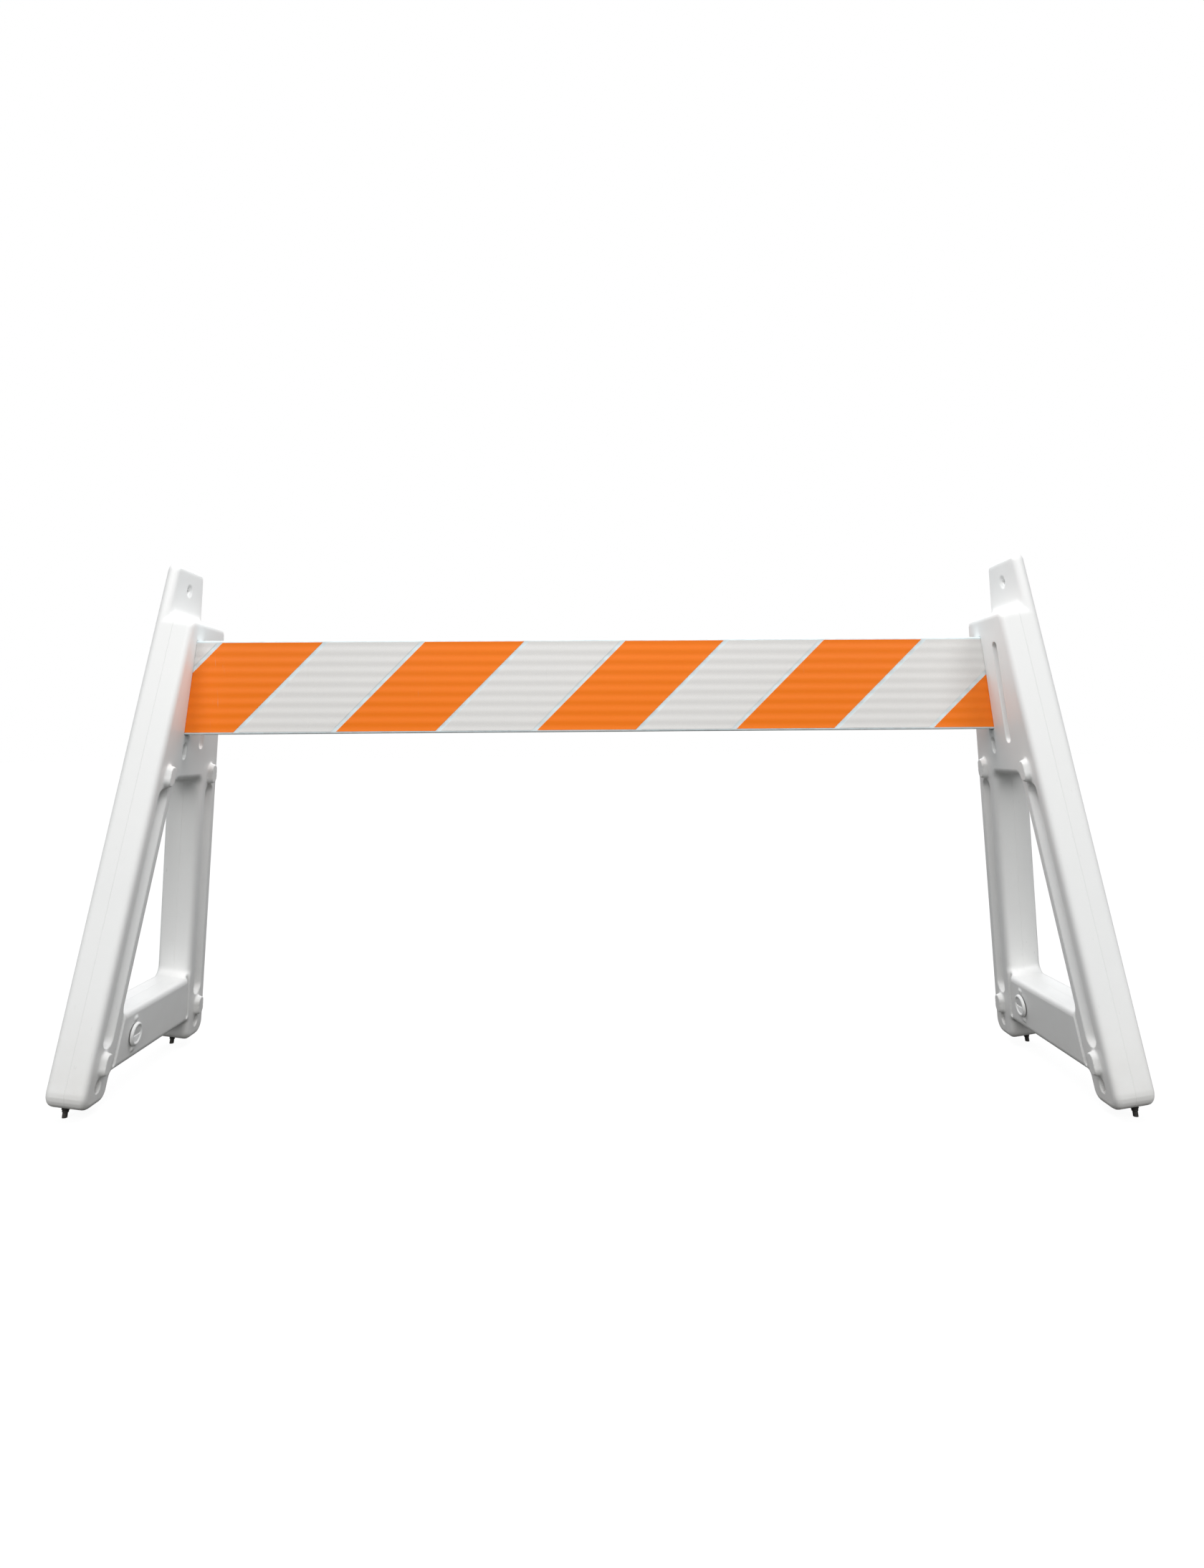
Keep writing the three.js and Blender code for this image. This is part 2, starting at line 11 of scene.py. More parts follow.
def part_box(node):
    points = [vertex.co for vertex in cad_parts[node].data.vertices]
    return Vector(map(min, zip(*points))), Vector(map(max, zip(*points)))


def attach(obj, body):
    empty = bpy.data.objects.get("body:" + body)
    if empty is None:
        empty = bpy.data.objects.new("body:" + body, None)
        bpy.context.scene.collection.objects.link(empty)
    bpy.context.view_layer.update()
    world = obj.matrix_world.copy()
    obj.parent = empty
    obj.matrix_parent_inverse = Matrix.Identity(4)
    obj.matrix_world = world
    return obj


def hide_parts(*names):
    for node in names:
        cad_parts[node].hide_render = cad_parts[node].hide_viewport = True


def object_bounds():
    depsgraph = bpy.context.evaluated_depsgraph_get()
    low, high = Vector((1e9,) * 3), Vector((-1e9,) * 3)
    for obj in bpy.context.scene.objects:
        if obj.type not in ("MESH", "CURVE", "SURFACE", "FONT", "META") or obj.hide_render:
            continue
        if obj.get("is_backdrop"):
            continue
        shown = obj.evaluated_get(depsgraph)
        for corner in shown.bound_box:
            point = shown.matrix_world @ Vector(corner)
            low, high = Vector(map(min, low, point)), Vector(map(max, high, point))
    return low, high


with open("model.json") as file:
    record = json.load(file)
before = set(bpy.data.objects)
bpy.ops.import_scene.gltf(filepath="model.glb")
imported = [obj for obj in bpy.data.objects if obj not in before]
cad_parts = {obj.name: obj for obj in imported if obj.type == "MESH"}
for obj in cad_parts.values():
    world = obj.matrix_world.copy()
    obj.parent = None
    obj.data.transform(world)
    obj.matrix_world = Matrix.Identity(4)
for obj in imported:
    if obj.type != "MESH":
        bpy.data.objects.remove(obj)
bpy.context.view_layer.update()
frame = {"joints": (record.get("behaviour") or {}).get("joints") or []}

# ---- studio ----
# A level camera at hip height looks almost square on at the rail. Two soft key lights stand in front,
# one to each side, with a softbox over the rail and a third sun behind. The floor glows white to the
# camera and is dark grey to every other ray, so that little light comes back up.
camera_data = bpy.data.cameras.new("studio_camera")
camera_data.sensor_width = 36
camera_data.lens = 23.94
camera_data.shift_x = -0.0155
camera_data.shift_y = -0.0251
camera = bpy.data.objects.new("studio_camera", camera_data)
bpy.context.scene.collection.objects.link(camera)
camera_turn = math.radians(-1.422)
camera_roll = math.radians(-0.4426)
camera.matrix_world = (
    Matrix.Translation((0.0158, -2.3, 0.7286))
    @ Matrix.Rotation(camera_turn, 4, "Z")
    @ Matrix.Rotation(math.pi / 2, 4, "X")
    @ Matrix.Rotation(camera_roll, 4, "Z")
)
bpy.context.scene.camera = camera
bpy.context.scene.view_settings.view_transform = "Standard"


def add_sun(name, towards, irradiance, spread, colour):
    """A distant soft light that shines along `towards`."""
    data = bpy.data.lights.new(name, "SUN")
    data.energy = irradiance
    data.angle = math.radians(spread)
    data.color = colour
    sun = bpy.data.objects.new(name, data)
    sun.rotation_euler = Vector(towards).to_track_quat("-Z", "Y").to_euler()
    bpy.context.scene.collection.objects.link(sun)


add_sun("left_key_light", (0.32, 0.8, -0.5), irradiance=0.88, spread=30, colour=(1, 0.995, 0.98))
add_sun("right_key_light", (-0.32, 0.8, -0.5), irradiance=0.88, spread=30, colour=(1, 0.995, 0.98))
add_sun("back_light", (0, -0.8, -0.6), irradiance=1.0, spread=40, colour=(0.98, 0.99, 1))

softbox_data = bpy.data.lights.new("overhead_softbox", "AREA")
softbox_data.size = 0.9
softbox_data.energy = 16
softbox = bpy.data.objects.new("overhead_softbox", softbox_data)
softbox.location = (0, -0.1, 2.0)
bpy.context.scene.collection.objects.link(softbox)

SKY_AMBIENT = 0.58
world = bpy.data.worlds.new("studio_white")
bpy.context.scene.world = world
world.use_nodes = True
sky = world.node_tree
sky.nodes.clear()
sky_output = sky.nodes.new("ShaderNodeOutputWorld")
sky_mix = sky.nodes.new("ShaderNodeMixShader")
seen = sky.nodes.new("ShaderNodeBackground")
lighting = sky.nodes.new("ShaderNodeBackground")
ray = sky.nodes.new("ShaderNodeLightPath")
seen.inputs["Color"].default_value = (1, 1, 1, 1)
seen.inputs["Strength"].default_value = 1.0
lighting.inputs["Color"].default_value = (0.95, 0.97, 1, 1)
lighting.inputs["Strength"].default_value = SKY_AMBIENT
sky.links.new(ray.outputs["Is Camera Ray"], sky_mix.inputs["Fac"])
sky.links.new(lighting.outputs["Background"], sky_mix.inputs[1])
sky.links.new(seen.outputs["Background"], sky_mix.inputs[2])
sky.links.new(sky_mix.outputs["Shader"], sky_output.inputs["Surface"])

FLOOR_RADIUS = 60
floor_mesh = bmesh.new()
bmesh.ops.create_circle(floor_mesh, cap_ends=True, segments=96, radius=FLOOR_RADIUS)
floor_data = bpy.data.meshes.new("studio_floor")
floor_mesh.to_mesh(floor_data)
floor = bpy.data.objects.new("studio_floor", floor_data)
bpy.context.scene.collection.objects.link(floor)
floor_paint = bpy.data.materials.new("studio_floor_paint")
floor_paint.use_nodes = True
floor_tree = floor_paint.node_tree
floor_tree.nodes.clear()
floor_output = floor_tree.nodes.new("ShaderNodeOutputMaterial")
floor_mix = floor_tree.nodes.new("ShaderNodeMixShader")
floor_sum = floor_tree.nodes.new("ShaderNodeAddShader")
floor_ray = floor_tree.nodes.new("ShaderNodeLightPath")
dull = floor_tree.nodes.new("ShaderNodeBsdfDiffuse")
dull.inputs["Color"].default_value = (0.07, 0.07, 0.065, 1)
matt = floor_tree.nodes.new("ShaderNodeBsdfDiffuse")
matt.inputs["Color"].default_value = (0.12, 0.12, 0.12, 1)
glow = floor_tree.nodes.new("ShaderNodeEmission")
glow.inputs["Strength"].default_value = 0.92
floor_tree.links.new(matt.outputs["BSDF"], floor_sum.inputs[0])
floor_tree.links.new(glow.outputs["Emission"], floor_sum.inputs[1])
floor_tree.links.new(floor_ray.outputs["Is Camera Ray"], floor_mix.inputs["Fac"])
floor_tree.links.new(dull.outputs["BSDF"], floor_mix.inputs[1])
floor_tree.links.new(floor_sum.outputs["Shader"], floor_mix.inputs[2])
floor_tree.links.new(floor_mix.outputs["Shader"], floor_output.inputs["Surface"])
floor_data.materials.append(floor_paint)
floor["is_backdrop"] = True

# ---- A-frames ----
# Each end frame is one hollow blow moulding: two legs, a brace between the feet, a solid head with the
# rail's pocket, and a thin tab for a warning light. Both frames come out of the same mould.
joints = {joint["name"]: joint for joint in frame["joints"]}
cap_axis = Vector(joints["left_cap_turn"]["axis"])
CAP_AT = Vector((0.0426, -0.110, 0.126))  # the cap's centre in the frame's axes: thickness, v and w
lean = Matrix.Rotation(math.atan2(-cap_axis.z, cap_axis.x), 4, "Y")
left_place = Matrix.Translation(Vector(joints["left_cap_turn"]["pos_m"]) - lean.to_3x3() @ CAP_AT) @ lean
right_place = Matrix.Rotation(math.pi, 4, "Z") @ left_place
PLACES = {"left": left_place, "right": right_place}

HALF_THICKNESS = 0.040
FOOT_BOTTOM = 0.018
FRAME_TOP = 1.130
BASE_HALF = 0.311  # half the spread of the legs at w = 0
LEG_SLOPE = 0.211  # how far a leg moves in for each metre up
LEG_WIDTH = 0.100
BRACE_BOTTOM = 0.069
BRACE_TOP = 0.182
WEB_BOTTOM = 0.664
SHOULDER = 1.015
TAB_FACE = -0.015
TAB_ROOT = 0.93
MOULD_RADIUS = 0.012
FOOT_OUTER_CORNER = 0.030
FOOT_INNER_CORNER = 0.026
SHOULDER_CORNER = 0.022
UNDER_BRACE_CORNER = 0.010
TRIANGLE_TOP_CORNER = 0.018
TRIANGLE_FOOT_CORNER = 0.016
TAB_CORNER = 0.018
LEAST_CORNER = 0.004


def outer_edge(w):
    return BASE_HALF - LEG_SLOPE * w


def inner_edge(w):
    return outer_edge(w) - LEG_WIDTH


def leg_middle(w):
    return outer_edge(w) - LEG_WIDTH / 2


def rounded(corners, steps=6):
    """The points round a closed outline whose corners (v, w, radius) are arcs."""
    points = []
    for i, (v, w, radius) in enumerate(corners):
        corner = Vector((v, w))
        before = (Vector(corners[i - 1][:2]) - corner).normalized()
        after = (Vector(corners[(i + 1) % len(corners)][:2]) - corner).normalized()
        half = before.angle(after) / 2
        centre = corner + (before + after).normalized() * (radius / math.sin(half))
        tangent = radius / math.tan(half)
        start = corner + before * tangent - centre
        end = corner + after * tangent - centre
        points += [tuple(centre + radius * start.slerp(end, k / steps)) for k in range(steps + 1)]
    return points


def both_sides(corners):
    return corners + [(-v, w, radius) for v, w, radius in reversed(corners)]


def loft(sections):
    """A closed body through sections (x, loops), which all have the same loops and points."""
    body = bmesh.new()
    layers = []
    for x, loops in sections:
        layers.append([[body.verts.new((x, v, w)) for v, w in loop] for loop in loops])
    for near, far in zip(layers, layers[1:]):
        for a, b in zip(near, far):
            for i in range(len(a)):
                body.faces.new((a[i - 1], a[i], b[i], b[i - 1]))
    for layer in (layers[0], layers[-1]):
        rim = [body.edges.get((loop[i - 1], loop[i])) for loop in layer for i in range(len(loop))]
        bmesh.ops.triangle_fill(body, use_beauty=True, edges=rim)
    bmesh.ops.recalc_face_normals(body, faces=body.faces)
    return body


def rounded_slab(outline_at, x0, x1, radius, steps=4):
    """A slab with rounded edges. outline_at(inset) gives its loops, drawn that much smaller."""
    near = []
    far = []
    for k in range(steps + 1):
        angle = math.pi / 2 * k / steps
        back, inset = radius * (1 - math.sin(angle)), radius * (1 - math.cos(angle))
        near.insert(0, (x0 + back, outline_at(inset)))
        far.append((x1 - back, outline_at(inset)))
    return loft(near + far)


def shrunk(corner, inset):
    """The radius of an outward corner whose outline is drawn smaller by the inset."""
    return max(corner - inset, LEAST_CORNER)


def frame_outline(inset):
    """The A's loops: round the legs, head and feet, then round the open triangle."""
    sideways = inset * math.hypot(1, LEG_SLOPE)
    sole, top, under_brace = FOOT_BOTTOM + inset, SHOULDER - inset, BRACE_BOTTOM + inset
    outer = [
        (outer_edge(sole) - sideways, sole, shrunk(FOOT_OUTER_CORNER, inset)),
        (outer_edge(top) - sideways, top, shrunk(SHOULDER_CORNER, inset)),
    ]
    foot = [
        (-inner_edge(sole) - sideways, sole, shrunk(FOOT_INNER_CORNER, inset)),
        (-inner_edge(under_brace) - sideways, under_brace, UNDER_BRACE_CORNER + inset),
    ]
    web, brace = WEB_BOTTOM + inset, BRACE_TOP - inset
    triangle = [
        (inner_edge(web) + sideways, web, TRIANGLE_TOP_CORNER + inset),
        (inner_edge(brace) + sideways, brace, TRIANGLE_FOOT_CORNER + inset),
    ]
    return [rounded(both_sides(outer) + both_sides(foot)), rounded(both_sides(triangle))]


def tab_outline(inset):
    sideways = inset * math.hypot(1, LEG_SLOPE)
    root, top = TAB_ROOT + inset, FRAME_TOP - inset
    half = [
        (outer_edge(root) - sideways, root, LEAST_CORNER),
        (outer_edge(top) - sideways, top, shrunk(TAB_CORNER, inset)),
    ]
    return [rounded(both_sides(half))]


def stadium(start, end, radius, steps=10):
    """A round-ended slot between two points, as one loop."""
    start, end = Vector(start), Vector(end)
    along = math.atan2(end.y - start.y, end.x - start.x)
    loop = []
    for centre, turn in ((start, math.pi / 2), (end, -math.pi / 2)):
        for k in range(steps + 1):
            angle = along + turn + math.pi * k / steps
            loop.append((centre.x + radius * math.cos(angle), centre.y + radius * math.sin(angle)))
    return loop


def pad(start, end, x, radius, depth, draft):
    """A slot-shaped pad or hollow with sloping sides, reaching `depth` to both sides of the plane x."""
    tip = [stadium(start, end, radius - draft)]
    middle = [stadium(start, end, radius)]
    return loft([(x - depth, tip), (x, middle), (x + depth, tip)])


def box_body(low, high):
    body = bmesh.new()
    bmesh.ops.create_cube(body, size=1)
    low, high = Vector(low), Vector(high)
    for vert in body.verts:
        vert.co = (low + high) / 2 + Vector(a * b for a, b in zip(vert.co, high - low))
    return body


def turned(profile, centre, segments=64):
    """A profile of (radius, x) points turned round an axis along X through centre (v, w)."""
    body = bmesh.new()
    rings = []
    for radius, x in profile:
        if radius == 0:
            rings.append([body.verts.new((x, *centre))])
            continue
        angles = [2 * math.pi * k / segments for k in range(segments)]
        rings.append(
            [
                body.verts.new((x, centre[0] + radius * math.cos(a), centre[1] + radius * math.sin(a)))
                for a in angles
            ]
        )
    for a, b in zip(rings, rings[1:] + rings[:1]):
        if len(a) == 1 and len(b) == 1:
            continue
        for i in range(segments):
            corners = [a[(i - 1) % len(a)], a[i % len(a)], b[i % len(b)], b[(i - 1) % len(b)]]
            body.faces.new(list(dict.fromkeys(corners)))
    bmesh.ops.recalc_face_normals(body, faces=body.faces)
    return body


def add_piece(name, body):
    """Puts a body in the scene as an object and frees it."""
    data = bpy.data.meshes.new(name)
    body.to_mesh(data)
    body.free()
    piece = bpy.data.objects.new(name, data)
    bpy.context.scene.collection.objects.link(piece)
    return piece


def bake_modifiers(piece):
    """Replaces a piece's mesh by what its modifiers make of it."""
    depsgraph = bpy.context.evaluated_depsgraph_get()
    made = bpy.data.meshes.new_from_object(piece.evaluated_get(depsgraph))
    made.name = piece.name
    made.materials.clear()
    piece.modifiers.clear()
    piece.data = made


def combine(piece, bodies, operation):
    """Joins bodies to a piece, or cuts them out of it."""
    tools = [add_piece("tool", body) for body in bodies]
    for tool in tools:
        modifier = piece.modifiers.new("combine", "BOOLEAN")
        modifier.operation = operation
        modifier.solver = "MANIFOLD"
        modifier.object = tool
    bake_modifiers(piece)
    for tool in tools:
        bpy.data.objects.remove(tool)


def on_leg(w, side):
    return (side * leg_middle(w), w)


LUG = {"radius": 0.016, "depth": 0.012, "draft": 0.003}
LUG_SOCKET = {**LUG, "radius": LUG["radius"] + 0.001}
LUG_ENDS = ((0.6675, 0.6845), (0.0915, 0.1085))  # the upper one and the one above the foot
FLUTE = {"radius": 0.0220, "depth": 0.0135, "draft": 0.0075}
FLUTE_ENDS = (0.150, 0.628)
FOOT_HOLLOW = {"radius": 0.0115, "depth": 0.022, "draft": 0.002}
FOOT_HOLLOW_ENDS = (0.056, 0.061)
BRACE_GROOVE = {"radius": 0.006, "depth": 0.007, "draft": 0.003}
BRACE_GROOVE_ENDS = (0.084, 0.196)
BRACE_GROOVE_IN = 0.005  # from the leg's inner edge
HEAD_FLUTE = {"radius": 0.012, "depth": 0.015, "draft": 0.004}
HEAD_FLUTE_ENDS = ((0.042, 0.746), (0.042, 0.940))
HEAD_DIMPLE = {"radius": 0.0105, "depth": 0.012, "draft": 0.003}
HEAD_DIMPLE_ENDS = ((-0.047, 0.722), (-0.047, 0.736))
CAP_CENTRE = (CAP_AT.y, CAP_AT.z)
CAP_RADIUS = 0.025
CAP_STOP = {"radius": 0.005, "depth": 0.003, "draft": 0.002}
CAP_STOP_GAP = 0.008  # from the cap's rim to the stop's middle
CAP_STOP_HALF_LENGTH = 0.004
NECK_HOLE = 0.0196
BALLAST_ROOM = ((-0.034, -0.165, 0.085), (0.035, -0.04, 0.168))
LIGHT_HOLE_AT = 1.080
LIGHT_HOLE_RADIUS = 0.0065
LIGHT_HOLE_DISH = {"radius": 0.014, "depth": 0.003, "draft": 0.004}
LIGHT_HOLE_DISH_ENDS = ((-0.0005, LIGHT_HOLE_AT), (0.0005, LIGHT_HOLE_AT))
POCKET_GAP = (0.0006, 0.0011, 0.0004)  # past the rail's end, at each face, above and below
COVE_RADIUS = 0.020
COVE_END_RADIUS = 0.005
COVE_FADE = 0.018


def cove():
    """The concave fillet between tab and shoulder, fading out towards both ends."""
    reach = outer_edge(SHOULDER) - 0.010
    body = bmesh.new()
    rings = []
    fade_in = [(-reach, COVE_END_RADIUS), (COVE_FADE - reach, COVE_RADIUS)]
    fade_out = [(reach - COVE_FADE, COVE_RADIUS), (reach, COVE_END_RADIUS)]
    for v, radius in fade_in + fade_out:
        corner = [(TAB_FACE + radius, SHOULDER - 0.001), (TAB_FACE - 0.001, SHOULDER - 0.001)]
        corner.append((TAB_FACE - 0.001, SHOULDER + radius))
        for k in range(9):
            angle = math.pi / 2 * k / 8
            x = TAB_FACE + radius * (1 - math.cos(angle))
            corner.append((x, SHOULDER + radius * (1 - math.sin(angle))))
        rings.append([body.verts.new((x, v, w)) for x, w in corner])
    for a, b in zip(rings, rings[1:]):
        for i in range(len(a)):
            body.faces.new((a[i - 1], a[i], b[i], b[i - 1]))
    body.faces.new(rings[0])
    body.faces.new(rings[-1])
    bmesh.ops.recalc_face_normals(body, faces=body.faces)
    return body


slab = rounded_slab(frame_outline, -HALF_THICKNESS, HALF_THICKNESS, MOULD_RADIUS)
mould = add_piece("frame_mould", slab)
raised = [rounded_slab(tab_outline, -HALF_THICKNESS, TAB_FACE, MOULD_RADIUS), cove()]
sunk = []
for side in (-1, 1):
    for levels in LUG_ENDS:
        ends = [on_leg(w, side) for w in levels]
        raised.append(pad(*ends, HALF_THICKNESS, **LUG))
        sunk.append(pad(*ends, -HALF_THICKNESS, **LUG_SOCKET))
    for face in (-HALF_THICKNESS, HALF_THICKNESS):
        sunk.append(pad(*[on_leg(w, side) for w in FLUTE_ENDS], face, **FLUTE))
    under_lug = [on_leg(w, side) for w in FOOT_HOLLOW_ENDS]
    sunk.append(pad(*under_lug, HALF_THICKNESS, **FOOT_HOLLOW))
    beside_brace = [(side * (inner_edge(w) - BRACE_GROOVE_IN), w) for w in BRACE_GROOVE_ENDS]
    sunk.append(pad(*beside_brace, HALF_THICKNESS, **BRACE_GROOVE))
    stop_at = CAP_CENTRE[1] + side * (CAP_RADIUS + CAP_STOP_GAP)
    stop = [(CAP_CENTRE[0] + way * CAP_STOP_HALF_LENGTH, stop_at) for way in (-1, 1)]
    raised.append(pad(*stop, HALF_THICKNESS, **CAP_STOP))
sunk.append(pad(*HEAD_FLUTE_ENDS, HALF_THICKNESS, **HEAD_FLUTE))
sunk.append(pad(*HEAD_DIMPLE_ENDS, HALF_THICKNESS, **HEAD_DIMPLE))
sunk.append(pad(*LIGHT_HOLE_DISH_ENDS, TAB_FACE, **LIGHT_HOLE_DISH))
drilled = [(0, -0.05), (LIGHT_HOLE_RADIUS, -0.05), (LIGHT_HOLE_RADIUS, 0.01), (0, 0.01)]
sunk.append(turned(drilled, (0, LIGHT_HOLE_AT), 32))
filler = [(0, -0.02), (NECK_HOLE, -0.02), (NECK_HOLE, 0.05), (0, 0.05)]
sunk.append(turned(filler, CAP_CENTRE))
sunk.append(box_body(*BALLAST_ROOM))
rail_low, rail_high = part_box("rail_board")
end_gap, face_gap, edge_gap = POCKET_GAP
pocket = box_body(
    (rail_low.x - end_gap, rail_low.y - face_gap, rail_low.z - edge_gap),
    (0, rail_high.y + face_gap, rail_high.z + edge_gap),
)
pocket.transform(left_place.inverted())
sunk.append(pocket)
combine(mould, raised, "UNION")
combine(mould, sunk, "DIFFERENCE")
skin = mould.modifiers.new("skin", "REMESH")
skin.mode = "VOXEL"
skin.voxel_size = 0.0020
skin.use_smooth_shade = True
flow = mould.modifiers.new("flow", "SMOOTH")
flow.factor = 0.5
flow.iterations = 3
bake_modifiers(mould)


def new_group(name, sockets_in, sockets_out):
    """An empty shader node group. Sockets are (name, kind, value)."""
    group = bpy.data.node_groups.new(name, "ShaderNodeTree")
    for socket, kind, value in sockets_in:
        made = group.interface.new_socket(socket, in_out="INPUT", socket_type=kind)
        if value is not None:
            made.default_value = value
    for socket, kind in sockets_out:
        group.interface.new_socket(socket, in_out="OUTPUT", socket_type=kind)
    return group, group.nodes.new("NodeGroupInput"), group.nodes.new("NodeGroupOutput")


def math_node(tree, operation, a, b=None, c=None, clamp=False):
    """A Math node whose inputs are sockets or numbers; gives its output."""
    node = tree.nodes.new("ShaderNodeMath")
    node.operation = operation
    node.use_clamp = clamp
    for socket, value in zip(node.inputs, (a, b, c)):
        if value is None:
            continue
        if isinstance(value, (int, float)):
            socket.default_value = value
        else:
            tree.links.new(value, socket)
    return node.outputs[0]


def noise_node(tree, coordinate, size, detail=2.0, stretch=None):
    """Noise whose features are about `size` across; size is a socket or a number."""
    node = tree.nodes.new("ShaderNodeTexNoise")
    node.inputs["Detail"].default_value = detail
    if stretch:
        squeeze = tree.nodes.new("ShaderNodeVectorMath")
        squeeze.operation = "MULTIPLY"
        squeeze.inputs[1].default_value = stretch
        tree.links.new(coordinate, squeeze.inputs[0])
        coordinate = squeeze.outputs[0]
    tree.links.new(coordinate, node.inputs["Vector"])
    tree.links.new(math_node(tree, "DIVIDE", 1.0, size), node.inputs["Scale"])
    return node.outputs["Fac"]


# Moulded polyethylene: a fine leathery grain over a slow ripple, and a faint cloudiness in the white.
FLOAT, VECTOR = "NodeSocketFloat", "NodeSocketVector"
moulded_skin, skin_in, skin_out = new_group(
    "moulded_skin",
    [("Coordinate", VECTOR, None), ("Grain Size", FLOAT, 0.001), ("Ripple Size", FLOAT, 0.03)],
    [("Height", FLOAT), ("Clouding", FLOAT)],
)
grain = noise_node(moulded_skin, skin_in.outputs["Coordinate"], skin_in.outputs["Grain Size"], 3.0)
ripple = noise_node(moulded_skin, skin_in.outputs["Coordinate"], skin_in.outputs["Ripple Size"], 1.0)
cloud_size = math_node(moulded_skin, "MULTIPLY", skin_in.outputs["Ripple Size"], 5.0)
clouding = noise_node(moulded_skin, skin_in.outputs["Coordinate"], cloud_size, 4.0)
height = math_node(moulded_skin, "MULTIPLY_ADD", ripple, 3.0, grain)
moulded_skin.links.new(height, skin_out.inputs["Height"])
moulded_skin.links.new(clouding, skin_out.inputs["Clouding"])

# Handling wear: edges that stand out are rubbed greyer, and faint scuffs run over the faces.
handling_wear, wear_in, wear_out = new_group(
    "handling_wear",
    [("Coordinate", VECTOR, None), ("Edge Amount", FLOAT, 0.5), ("Scuff Amount", FLOAT, 0.5)],
    [("Edge Mask", FLOAT), ("Scuff Mask", FLOAT)],
)
geometry = handling_wear.nodes.new("ShaderNodeNewGeometry")
ridge = math_node(handling_wear, "SUBTRACT", geometry.outputs["Pointiness"], 0.515)
ridge = math_node(handling_wear, "MULTIPLY", ridge, 14.0, clamp=True)
patches = noise_node(handling_wear, wear_in.outputs["Coordinate"], 0.02, 4.0)
patches = math_node(handling_wear, "SUBTRACT", patches, 0.42)
patches = math_node(handling_wear, "MULTIPLY", patches, 5.0, clamp=True)
edge = math_node(handling_wear, "MULTIPLY", ridge, patches)
edge = math_node(handling_wear, "MULTIPLY", edge, wear_in.outputs["Edge Amount"])
scratch = noise_node(handling_wear, wear_in.outputs["Coordinate"], 0.004, 2.0, stretch=(1, 1, 0.06))
scratch = math_node(handling_wear, "SUBTRACT", scratch, 0.66)
scratch = math_node(handling_wear, "MULTIPLY", scratch, 9.0, clamp=True)
areas = noise_node(handling_wear, wear_in.outputs["Coordinate"], 0.12, 2.0)
areas = math_node(handling_wear, "SUBTRACT", areas, 0.5)
areas = math_node(handling_wear, "MULTIPLY", areas, 5.0, clamp=True)
scuff = math_node(handling_wear, "MULTIPLY", scratch, areas)
scuff = math_node(handling_wear, "MULTIPLY", scuff, wear_in.outputs["Scuff Amount"])
handling_wear.links.new(edge, wear_out.inputs["Edge Mask"])
handling_wear.links.new(scuff, wear_out.inputs["Scuff Mask"])

# Road dust: a thin film that is thickest at the ground and fades out with height, broken up by noise.
road_dust, dust_in, dust_out = new_group(
    "road_dust",
    [("Coordinate", VECTOR, None), ("Reach", FLOAT, 0.2), ("Amount", FLOAT, 0.5)],
    [("Mask", FLOAT)],
)
split = road_dust.nodes.new("ShaderNodeSeparateXYZ")
road_dust.links.new(dust_in.outputs["Coordinate"], split.inputs[0])
fade = math_node(road_dust, "DIVIDE", split.outputs["Z"], dust_in.outputs["Reach"])
fade = math_node(road_dust, "SUBTRACT", 1.0, fade, clamp=True)
fade = math_node(road_dust, "POWER", fade, 1.6)
drift = noise_node(road_dust, dust_in.outputs["Coordinate"], 0.05, 5.0)
drift = math_node(road_dust, "MULTIPLY_ADD", drift, 1.4, -0.1)
film = math_node(road_dust, "MULTIPLY", fade, drift)
film = math_node(road_dust, "MULTIPLY", film, dust_in.outputs["Amount"], clamp=True)
road_dust.links.new(film, dust_out.inputs["Mask"])


def new_material(name, roughness, specular=0.5):
    """A material with its Principled shader and object coordinates to hand."""
    material = bpy.data.materials.new(name)
    material.use_nodes = True
    tree = material.node_tree
    shader = tree.nodes["Principled BSDF"]
    shader.inputs["Roughness"].default_value = roughness
    shader.inputs["Specular IOR Level"].default_value = specular
    coordinate = tree.nodes.new("ShaderNodeTexCoord").outputs["Object"]
    return material, tree, shader, coordinate


def place_group(tree, group, coordinate, **values):
    """Puts a node group in a material; underscores in a value's name stand for spaces."""
    node = tree.nodes.new("ShaderNodeGroup")
    node.node_tree = group
    tree.links.new(coordinate, node.inputs["Coordinate"])
    for name, value in values.items():
        node.inputs[name.replace("_", " ")].default_value = value
    return node


def mix_colour(tree, factor, a, b):
    """Mixes two colours, each a socket or an RGB value, by a factor socket."""
    node = tree.nodes.new("ShaderNodeMix")
    node.data_type = "RGBA"
    tree.links.new(factor, node.inputs["Factor"])
    for socket, value in ((node.inputs["A"], a), (node.inputs["B"], b)):
        if isinstance(value, tuple):
            socket.default_value = (*value, 1)
        else:
            tree.links.new(value, socket)
    return node.outputs["Result"]


def add_bump(tree, shader, height, distance):
    bump = tree.nodes.new("ShaderNodeBump")
    bump.inputs["Distance"].default_value = distance
    bump.inputs["Strength"].default_value = 1.0
    tree.links.new(height, bump.inputs["Height"])
    tree.links.new(bump.outputs["Normal"], shader.inputs["Normal"])


